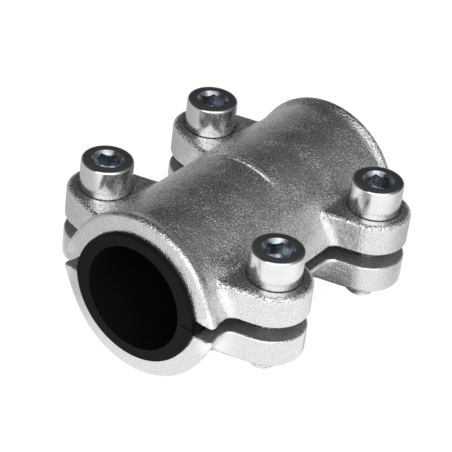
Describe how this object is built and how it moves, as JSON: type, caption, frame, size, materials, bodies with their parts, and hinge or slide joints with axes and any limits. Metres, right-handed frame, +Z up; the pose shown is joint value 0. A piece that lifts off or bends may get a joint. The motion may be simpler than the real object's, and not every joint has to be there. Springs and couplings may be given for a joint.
{
  "type": "pipe repair clamp",
  "caption": "Straight clamp for a leaking pipe: cast half shells with lugs, closed on a rubber sleeve by socket cap screws.",
  "frame": {"origin": "centre of the pipe bore, half way along it", "axes": "+X from the bore to one row of lugs, +Y along the bore, +Z up along the screws towards their heads"},
  "size_m": [0.0704, 0.0804, 0.0424],
  "materials": {
    "casting": "galvanised, speckled cast grain",
    "rubber": "matte black",
    "screw": "bright zinc plate"
  },
  "bodies": {
    "root": {"upper_half": "casting", "lower_half": "casting", "rubber_sleeve": "rubber", "cap_screws": "screw"}
  },
  "joints": []
}
